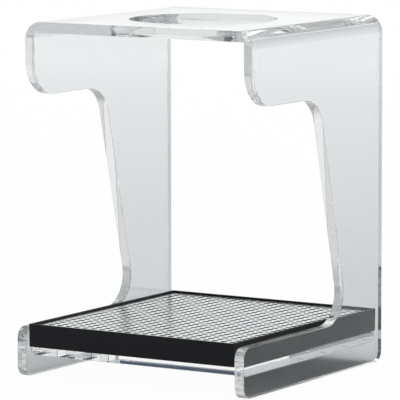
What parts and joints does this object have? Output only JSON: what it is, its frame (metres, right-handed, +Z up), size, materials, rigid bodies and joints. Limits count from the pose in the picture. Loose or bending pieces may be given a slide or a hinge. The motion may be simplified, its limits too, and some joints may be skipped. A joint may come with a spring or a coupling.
{
  "type": "dripper stand",
  "caption": "Clear acrylic bench stand: a bent sheet frame with a round hole in its top plate to hold a tool upright, over a black lift-out drip tray with a perforated steel grille.",
  "frame": {"origin": "on the bench, under the middle of the base", "axes": "+Z up, +X to the stand's right as seen from the front, -Y towards the open front where the tray slides out"},
  "size_m": [0.187, 0.191, 0.25],
  "materials": {
    "clear_acrylic": "polished clear acrylic sheet, 7.5 mm thick",
    "black_tray": "satin black, moulded",
    "perforated_steel": "bright stainless sheet, perforated"
  },
  "bodies": {
    "stand": {"stand_frame": "clear_acrylic", "tray_shelf": "clear_acrylic"},
    "tray": {"drip_tray": "black_tray"},
    "grille": {"grille_plate": "perforated_steel"}
  },
  "joints": [
    {"name": "tray_slide", "type": "slide", "parent": "stand", "child": "tray", "axis": [0, -1, 0], "range_m": [0, 0.2]},
    {"name": "grille_lift", "type": "slide", "parent": "tray", "child": "grille", "axis": [0, 0, 1], "range_m": [0, 0.03]}
  ]
}
